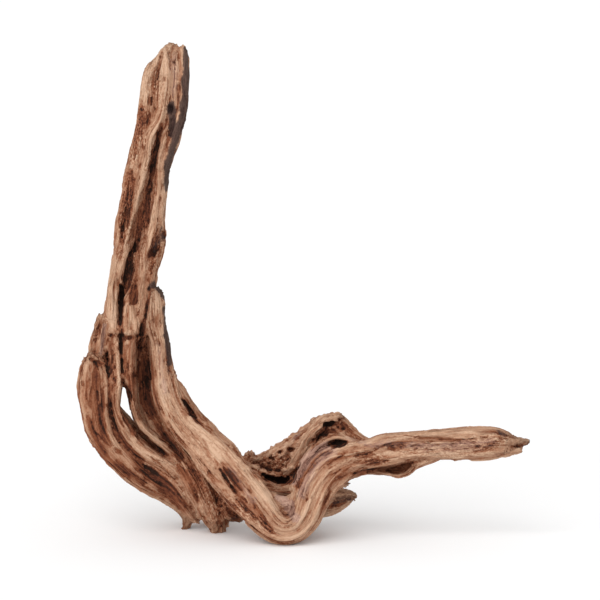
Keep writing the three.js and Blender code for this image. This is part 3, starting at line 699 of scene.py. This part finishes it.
class Skin:
    """A mesh's points as arrays, with what carving needs: normals, neighbours and what faces the viewer."""

    def __init__(self, mesh):
        self.mesh = mesh
        self.points = np.empty(len(mesh.vertices) * 3)
        mesh.vertices.foreach_get("co", self.points)
        self.points = self.points.reshape(-1, 3)
        edges = np.empty(len(mesh.edges) * 2, dtype=np.int64)
        mesh.edges.foreach_get("vertices", edges)
        self.edges = edges.reshape(-1, 2)
        self.count = np.maximum(np.bincount(self.edges.ravel(), minlength=len(self.points)), 1)

    def store(self):
        self.mesh.vertices.foreach_set("co", self.points.ravel())
        self.mesh.update()

    def normals(self):
        self.store()
        found = np.empty(len(self.points) * 3)
        self.mesh.vertex_normals.foreach_get("vector", found)
        return found.reshape(-1, 3)

    def averaged(self, values):
        """Each point's value replaced by the mean of its neighbours'."""
        a, b = self.edges.T
        columns = values.reshape(len(values), -1)
        total = [
            np.bincount(a, weights=c[b], minlength=len(c)) + np.bincount(b, weights=c[a], minlength=len(c))
            for c in columns.T
        ]
        return (np.stack(total, 1) / self.count[:, None]).reshape(values.shape)

    def smoothed(self, values, times, share=0.5):
        for _ in range(times):
            values = values + share * (self.averaged(values) - values)
        return values

    def facing(self, reach, shake=0.0, cell=3.0):
        """How near each point is to the outermost surface seen by the viewer: 1 on it, 0 past reach.

        The limit is shaken by up to shake mm along the wood, so that it shows no edge.
        """
        x, y, z = self.points.T
        column = np.floor(x / cell).astype(int)
        row = np.floor(z / cell).astype(int)
        column -= column.min()
        row -= row.min()
        place = column * (row.max() + 1) + row
        nearest = np.full(place.max() + 1, np.inf)
        np.minimum.at(nearest, place, y)
        depth = y - nearest[place]
        if shake:
            depth = depth + shake * noise(self.points / [9, 9, 40], 61)
            depth = depth + 0.4 * shake * noise(self.points / [4, 4, 9], 62)
        return 1 - smoothstep(max(reach * 0.6 - shake, 0), reach, depth)


def grain_of(points, strands):
    """Each point's place in its strand's grain, the grain's way, how far its end is, and which strand."""
    grain = np.zeros((len(points), 3))
    along = np.zeros((len(points), 3))
    to_end = np.zeros(len(points))
    owner = np.zeros(len(points), dtype=int)
    best = np.full(len(points), np.inf)
    for strand in strands:
        room = strand.half.max() + 8
        low = strand.middle.min(0) - room
        high = strand.middle.max(0) + room
        near = np.flatnonzero(np.all((points > low) & (points < high), axis=1))
        if not len(near):
            continue
        place, reach, at, gone = strand.measure(points[near])
        better = reach < best[near]
        chosen = near[better]
        best[chosen] = reach[better]
        grain[chosen] = place[better]
        along[chosen] = strand.along[at][better]
        to_end[chosen] = np.minimum(gone, strand.distance[-1] - gone)[better]
        owner[chosen] = strand.number
    return grain, along, to_end, owner


def wobble(points, size, seed):
    """Where each point falls on the sheet, shaken by up to size mm so that no outline is smooth."""
    shake = np.stack([noise(points / [9, 9, 16], seed), noise(points / [14, 9, 14], seed + 1)], 1)
    fine = np.stack([noise(points / [3.5, 4, 6], seed + 2), noise(points / [6, 4, 5], seed + 3)], 1)
    return points[:, [0, 2]] + size * shake + 0.5 * size * fine


def stroke_strength(points, wobbled, way, least=0.0):
    """How strongly a stroke acts on each point: an index of the points that it meets, and 0 to 1 for each.

    The way is x, z and half width, again and again, and each half width counts as least or more.
    """
    x, z, wide = np.reshape(way, (-1, 3)).T
    fine = spline(np.stack([x, 0 * x, z, np.maximum(wide, least)], 1), STROKE_STEP)
    place = fine[:, [0, 2]]
    wide = np.maximum(fine[:, 3], 0.6)
    # thin strokes are drawn steadily, so that they don't break up
    unsteady = min(1, wide.max() / 5)
    shaken = points[:, [0, 2]] * (1 - unsteady) + wobbled * unsteady
    low = place.min(0) - wide.max() - 2
    high = place.max(0) + wide.max() + 2
    near = np.flatnonzero(np.all((shaken > low) & (shaken < high), axis=1))
    if not len(near):
        return near, np.zeros(0)
    ratio = (np.linalg.norm(shaken[near][:, None] - place[None], axis=2) / wide).min(1)
    return near, 1 - smoothstep(0.45, 1.15, ratio)


def drawn(points, wobbled, strokes, least=0.0):
    """The strongest stroke's strength at each point, each stroke's first number being its most."""
    total = np.zeros(len(points))
    for most, *way in strokes:
        near, strength = stroke_strength(points, wobbled, way, least)
        total[near] = np.maximum(total[near], most * strength)
    return total


def carve(skin):
    """The drawn cuts and ridges of the side that faces the viewer."""
    facing = skin.facing(14)
    wobbled = wobble(skin.points, *CUT_SHAKE)
    push = drawn(skin.points, wobbled, CUTS)
    for height, *way in RAISED:
        near, strength = stroke_strength(skin.points, wobbled, way)
        push[near] -= height * strength
    skin.points[:, 1] += push * facing


def cut_floor_shade(skin):
    """How much painted shade each point takes on a cut's floor: 1 in a steep one, less in a shallow hollow.
    """
    wobbled = wobble(skin.points, *CUT_SHAKE)
    steep = [[min(1, depth / (4 * max(THINNEST_MARK, *way[2::3]))), *way] for depth, *way in CUTS]
    return drawn(skin.points, wobbled, steep, THINNEST_MARK) * skin.facing(24)


def stain(skin, name, seed):
    """How strongly a stain shows at each point, with edges that run with the wood."""
    facing = skin.facing(24, 9)
    strength = drawn(skin.points, wobble(skin.points, 2.6, seed), STAINS[name])
    return skin.smoothed(strength * facing, 5)


def flute(skin, strands):
    """Broad flutes and ribs along the grain, the long cracks between them, and splintered strand ends."""
    grain, along, to_end, _ = grain_of(skin.points, strands)
    broad = noise(grain / [13, 13, 110], 1)
    ribs = ridged(grain / [6.5, 6.5, 75], 2) - 0.35
    crack_here = smoothstep(0.0, 0.4, noise(grain / [16, 16, 45], 4))
    cracks = smoothstep(0.14, 0.0, ridged(grain / [8, 8, 90], 5)) * crack_here
    ledges = smoothstep(-0.06, 0.06, noise(grain / [12, 12, 130], 15))
    ledges = ledges + smoothstep(0.2, 0.3, noise(grain / [6, 6, 80], 16))
    knots = noise(skin.points / 24, 6)
    height = 1.0 * broad + 1.8 * ribs + 1.6 * (ledges - 0.7) - 3.5 * cracks + 0.8 * knots
    splinters = noise(grain / [3.5, 3.5, 9], 14) * smoothstep(9, 1, to_end)
    normals = skin.smoothed(skin.normals(), 4)
    skin.points += height[:, None] * normals + 6 * splinters[:, None] * along


def crumble(skin, normals):
    """Broken, rotten wood: lumps and pits a few millimetres across."""
    facing = skin.facing(22)
    rough = drawn(skin.points, wobble(skin.points, 2.5, 21), CRUMBLY)
    lumps = noise(skin.points / 6.5, 31) + 0.8 * noise(skin.points / 3.6, 32)
    pits = smoothstep(0.2, 0.0, ridged(skin.points / 7, 33))
    skin.points += (rough * facing * (0.6 * lumps - 0.7 * pits))[:, None] * normals


def roughen(skin, strands, stains):
    """The weathered surface: plates, fine ribs, splits and pits. Returns each point's strand and marks."""
    grain, _, _, owner = grain_of(skin.points, strands)
    islands = noise(grain / [7, 7, 44], 12) + 0.55 * noise(grain / [3.2, 3.2, 11], 13)
    plate = smoothstep(-0.07, 0.07, islands + 0.3 + 0.6 * stains["pale"] - 0.65 * stains["red"])
    ribs = ridged(grain / [3.6, 3.6, 42], 3) - 0.35
    fine = ridged(grain / [2.0, 2.0, 22], 7) - 0.35
    splits = smoothstep(0.12, 0.0, ridged(grain / [4.5, 4.5, 55], 8))
    splits *= smoothstep(0.0, 0.5, noise(grain / [10, 10, 30], 9))
    pits = smoothstep(0.5, 0.85, noise(grain / [3, 3, 7], 10))
    height = 1.2 * ribs + 0.7 * fine - 1.6 * splits - 0.9 * pits
    normals = skin.smoothed(skin.normals(), 2)
    skin.points += (height + 1.2 * (plate - 1))[:, None] * normals
    return owner, {"plate": plate, "relief": height, **stains}


def to_world(points):
    """From millimetres on the sheet to metres in the part's frame."""
    x, y, z = points.T
    tipped_y = y * math.cos(TIP_BACK) + z * math.sin(TIP_BACK)
    tipped_z = z * math.cos(TIP_BACK) - y * math.sin(TIP_BACK)
    return np.stack([x - MIDDLE_X, tipped_y - MIDDLE_Y, tipped_z - GROUND], 1) / 1000


def to_sheet(points):
    """From metres in the part's frame to millimetres on the sheet."""
    x, y, z = (points * 1000 + [MIDDLE_X, MIDDLE_Y, GROUND]).T
    flat_y = y * math.cos(TIP_BACK) - z * math.sin(TIP_BACK)
    flat_z = y * math.sin(TIP_BACK) + z * math.cos(TIP_BACK)
    return np.stack([x, flat_y, flat_z], 1)


def ease_inside(points):
    """Eases the outermost wood in, so that none of it stands outside the CAD's box."""
    for axis, side in ((0, -1), (0, 1), (1, -1), (1, 1), (2, 1)):
        out = side * points[:, axis]
        limit = side * CAD_BOX[side > 0][axis]
        over = out.max() - limit
        if over > 0:
            points[:, axis] -= side * over * smoothstep(limit - EASED_DEPTH, limit + over, out)
    return points


def wear_feet(wood):
    """Cuts the feet flat where the wood stands."""
    bpy.context.view_layer.objects.active = wood
    bpy.ops.object.mode_set(mode="EDIT")
    bpy.ops.mesh.select_all(action="SELECT")
    bpy.ops.mesh.bisect(plane_co=(0, 0, 0), plane_no=(0, 0, 1), use_fill=True, clear_inner=True)
    bpy.ops.mesh.select_all(action="SELECT")
    bpy.ops.mesh.delete_loose()
    bpy.ops.object.mode_set(mode="OBJECT")


def clean_up(wood):
    """Merges points that all but touch, deletes specks left loose by carving, and closes the wood."""
    bpy.ops.object.mode_set(mode="EDIT")
    bpy.ops.mesh.select_mode(type="VERT")
    bpy.ops.mesh.select_all(action="SELECT")
    bpy.ops.mesh.remove_doubles(threshold=MERGE)
    bpy.ops.mesh.dissolve_degenerate(threshold=MERGE)
    bpy.ops.mesh.select_all(action="DESELECT")
    bpy.ops.object.mode_set(mode="OBJECT")
    tallest = int(Skin(wood.data).points[:, 2].argmax())
    wood.data.vertices[tallest].select = True
    bpy.ops.object.mode_set(mode="EDIT")
    bpy.ops.mesh.select_linked()
    bpy.ops.mesh.select_all(action="INVERT")
    bpy.ops.mesh.delete(type="VERT")
    # where more than two faces share an edge, the wood is opened and closed again
    bpy.ops.mesh.select_non_manifold()
    bpy.ops.mesh.delete(type="VERT")
    bpy.ops.mesh.select_non_manifold()
    bpy.ops.mesh.fill_holes(sides=0)
    bpy.ops.mesh.select_all(action="DESELECT")
    bpy.ops.object.mode_set(mode="OBJECT")


def openness(skin, normals, rays=14, reach=0.06):
    """How much of the sky each point sees, from 0 in a deep hollow to 1 in the open."""
    corners = [tuple(p) for p in skin.points]
    faces = [tuple(f.vertices) for f in skin.mesh.polygons]
    tree = BVHTree.FromPolygons(corners, faces)
    golden = math.pi * (3 - math.sqrt(5))
    rays = rays
    up = np.sqrt((np.arange(rays) + 0.5) / rays)
    flat = np.sqrt(1 - up**2)
    turn = golden * np.arange(rays)
    side = np.cross(normals, [0.31, 0.87, 0.38])
    side /= np.maximum(np.linalg.norm(side, axis=1)[:, None], 1e-9)
    other = np.cross(normals, side)
    starts = skin.points + normals * RAY_START
    seen = np.zeros(len(skin.points))
    for u, f, t in zip(up, flat, turn):
        ways = normals * u + side * (f * math.cos(t)) + other * (f * math.sin(t))
        for index, (start, way) in enumerate(zip(starts, ways)):
            hit = tree.ray_cast(Vector(start), Vector(way), reach)
            seen[index] += 1.0 if hit[3] is None else hit[3] / reach
    return seen / rays


def add_attribute(mesh, name, values):
    mesh.attributes.new(name, "FLOAT", "POINT").data.foreach_set("value", values.astype(np.float32))


def corner_grain(mesh, points, strands, owner):
    """Each face corner's place in the grain of one strand, so that no face mixes two strands' grain."""
    corners = np.empty(len(mesh.loops), dtype=np.int64)
    mesh.loops.foreach_get("vertex_index", corners)
    starts = np.empty(len(mesh.polygons), dtype=np.int64)
    mesh.polygons.foreach_get("loop_start", starts)
    sizes = np.diff(np.append(starts, len(corners)))
    strand_here = np.repeat(owner[corners[starts]], sizes)
    grain = np.zeros((len(corners), 3))
    for strand in strands:
        here = strand_here == strand.number
        if here.any():
            grain[here] = strand.measure(points[corners[here]])[0]
    return grain


def mark_wood(wood, carved, strands, owner, marks):
    """Writes the attributes that the material reads, each point taking those of the nearest carved one."""
    tree = KDTree(len(carved))
    for index, point in enumerate(carved):
        tree.insert(point, index)
    tree.balance()
    skin = Skin(wood.data)
    skin.points[:, 2] = np.maximum(skin.points[:, 2], 0)
    source = np.array([tree.find(point)[1] for point in skin.points])
    normals = skin.normals()
    swell = np.sum((skin.points - skin.smoothed(skin.points, SWELL_SMOOTHING)) * normals, axis=1) * 1000
    seen = openness(skin, normals)
    mesh = wood.data
    for name, values in marks.items():
        add_attribute(mesh, name, values[source])
    add_attribute(mesh, "swell", swell)
    # how open each point is, which the material turns partly into painted shade in the hollows
    add_attribute(mesh, "open", skin.smoothed(seen, 2))
    grain = mesh.attributes.new("grain", "FLOAT_VECTOR", "CORNER")
    places = corner_grain(mesh, to_sheet(skin.points), strands, owner[source])
    grain.data.foreach_set("vector", places.astype(np.float32).ravel())


def make_wood():
    """The whole driftwood as one mesh, in the part's frame, with what its material reads."""
    strands = all_strands()
    wood = join_strands(strands)
    voxelise(wood)
    skin = Skin(wood.data)
    skin.points = skin.smoothed(skin.points, 4)
    flute(skin, strands)
    carve(skin)
    crumble(skin, skin.normals())
    skin.store()
    voxelise(wood)
    skin = Skin(wood.data)
    stains = {name: stain(skin, name, 40 + 5 * seed) for seed, name in enumerate(STAINS)}
    # painted shade on the floors of the cuts, carried along with the stains
    stains["cut"] = cut_floor_shade(skin)
    owner, marks = roughen(skin, strands, stains)
    skin.points = ease_inside(to_world(skin.points))
    skin.store()
    wear_feet(wood)
    faces = sum(len(f.vertices) - 2 for f in wood.data.polygons)
    if faces > TRIANGLES:
        apply_modifier(wood, "DECIMATE", ratio=TRIANGLES / faces)
    clean_up(wood)
    mark_wood(wood, skin.points, strands, owner, marks)
    return wood


def linear(colour):
    """An sRGB hex colour as linear red, green, blue and alpha."""
    parts = [int(colour[i : i + 2], 16) / 255 for i in (1, 3, 5)]
    return (*[p / 12.92 if p <= 0.04045 else ((p + 0.055) / 1.055) ** 2.4 for p in parts], 1)


class Nodes:
    """A material's node tree, built one node at a time."""

    def __init__(self, name):
        self.material = bpy.data.materials.new(name)
        self.material.use_nodes = True
        self.tree = self.material.node_tree
        self.tree.nodes.clear()

    def add(self, kind, settings=None, inputs=None):
        """Adds a node with its settings and its inputs, each a value or another node's output socket."""
        node = self.tree.nodes.new(kind)
        for name, value in (settings or {}).items():
            setattr(node, name, value)
        for place, value in (inputs or {}).items():
            if isinstance(value, bpy.types.NodeSocket):
                self.tree.links.new(value, node.inputs[place])
            else:
                node.inputs[place].default_value = value
        return node


def weathered_wood():
    """Bare weathered wood: matt, pale on worn ridges, red-brown in hollows partly as its own colour and
    partly as painted shade, streaked along its grain.
    """
    nodes = Nodes("weathered_driftwood")
    add = nodes.add

    value = {}
    for name in ("plate", "relief", "swell", "open", "cut", *STAINS):
        value[name] = add("ShaderNodeAttribute", {"attribute_name": name}).outputs["Fac"]
    grain = add("ShaderNodeAttribute", {"attribute_name": "grain"}).outputs["Vector"]
    for number, (name, (across, along)) in enumerate(PATTERNS.items()):
        cell = (1 / across, 1 / across, 1 / along)
        inputs = {"Vector": grain, "Scale": cell, "Location": (7.3 * number,) * 3}
        placed = add("ShaderNodeMapping", None, inputs).outputs[0]
        inputs = {"Vector": placed, "Scale": 1.0, "Detail": 2.0, "Roughness": 0.6}
        found = add("ShaderNodeTexNoise", None, inputs).outputs[0]
        # from about 0.25 to 0.75 as it comes, to -1 to 1
        inputs = {0: found, 1: 0.25, 2: 0.75, 3: -1, 4: 1}
        value[name] = add("ShaderNodeMapRange", {"clamp": False}, inputs).outputs[0]
    value["split_line"] = add("ShaderNodeMath", {"operation": "ABSOLUTE"}, {0: value["cracks"]}).outputs[0]

    for name, (first, *rest) in SHADING.items():
        if isinstance(first, str):
            inputs = dict(enumerate([value[first], *(value.get(end, end) for end in rest)]))
            total = add("ShaderNodeMapRange", {"interpolation_type": "SMOOTHSTEP"}, inputs).outputs[0]
        else:
            total = first
            for term, weight in rest[0].items():
                inputs = {0: value[term], 1: value.get(weight, weight), 2: total}
                total = add("ShaderNodeMath", {"operation": "MULTIPLY_ADD"}, inputs).outputs[0]
        value[name] = total

    tones = add("ShaderNodeValToRGB", None, {"Fac": value["dark"]})
    elements = tones.color_ramp.elements
    while len(elements) < len(TONES):
        elements.new(0.5)
    for element, (place, colour) in zip(elements, TONES):
        element.position = place
        element.color = linear(colour)
    inputs = {0: value["lilac_shown"], 6: tones.outputs[0], 7: linear(LILAC)}
    greyed = add("ShaderNodeMix", {"data_type": "RGBA", "blend_type": "COLOR"}, inputs).outputs[2]
    inputs = {0: value["ash_shown"], 6: linear(SOOT), 7: linear(ASH)}
    soot = add("ShaderNodeMix", {"data_type": "RGBA"}, inputs).outputs[2]
    inputs = {0: value["char_shown"], 6: greyed, 7: soot}
    colour = add("ShaderNodeMix", {"data_type": "RGBA"}, inputs).outputs[2]

    inputs = {"Strength": 1.0, "Distance": BUMP, "Height": value["fine_relief"]}
    finish = {
        "Base Color": colour,
        "Roughness": value["roughness"],
        "Specular IOR Level": 0.15,
        "Normal": add("ShaderNodeBump", None, inputs).outputs[0],
    }
    surface = add("ShaderNodeBsdfPrincipled", None, finish)
    add("ShaderNodeOutputMaterial", None, {"Surface": surface.outputs[0]})
    return nodes.material


def plain_floor():
    """A pale matt studio floor, not part of the wood."""
    bpy.ops.mesh.primitive_plane_add(size=60, location=(0, 0, 0))
    floor = bpy.context.object
    floor.name = "studio_floor"
    nodes = Nodes("pale_floor")
    surface = nodes.add("ShaderNodeBsdfPrincipled", None, {"Base Color": linear(FLOOR), "Roughness": 1.0})
    nodes.add("ShaderNodeOutputMaterial", None, {"Surface": surface.outputs[0]})
    floor.data.materials.append(nodes.material)


def studio():
    """Soft light from the upper left, a pale room, and the camera square on to the sheet."""
    sun = bpy.data.lights.new("key_light", "SUN")
    sun.angle = math.radians(SUN_SOFTNESS)
    sun.energy = SUN_STRENGTH
    light = bpy.data.objects.new("key_light", sun)
    light.rotation_euler = (-Vector(SUN_FROM)).to_track_quat("-Z", "Y").to_euler()
    bpy.context.scene.collection.objects.link(light)
    room = bpy.data.worlds.new("pale_room")
    room.use_nodes = True
    room.node_tree.nodes["Background"].inputs["Color"].default_value = (1, 1, 1, 1)
    room.node_tree.nodes["Background"].inputs["Strength"].default_value = ROOM_STRENGTH
    bpy.context.scene.world = room
    bpy.context.scene.view_settings.view_transform = "Standard"

    camera_data = bpy.data.cameras.new("camera")
    camera_data.sensor_width = SENSOR
    camera_data.lens = SENSOR * CAMERA_DISTANCE / CAMERA_WIDTH
    camera_data.clip_end = 200
    camera = bpy.data.objects.new("camera", camera_data)
    aim = Vector(to_world(np.array([CAMERA_AIM]))[0])
    ahead = Vector((0, math.cos(TIP_BACK), -math.sin(TIP_BACK)))
    camera.location = aim - ahead * CAMERA_DISTANCE
    camera.rotation_euler = ahead.to_track_quat("-Z", "Y").to_euler()
    bpy.context.scene.collection.objects.link(camera)
    bpy.context.scene.camera = camera


wood = make_wood()
wood.data.materials.clear()
wood.data.materials.append(weathered_wood())
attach(wood, "root")
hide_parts("driftwood")
plain_floor()
studio()
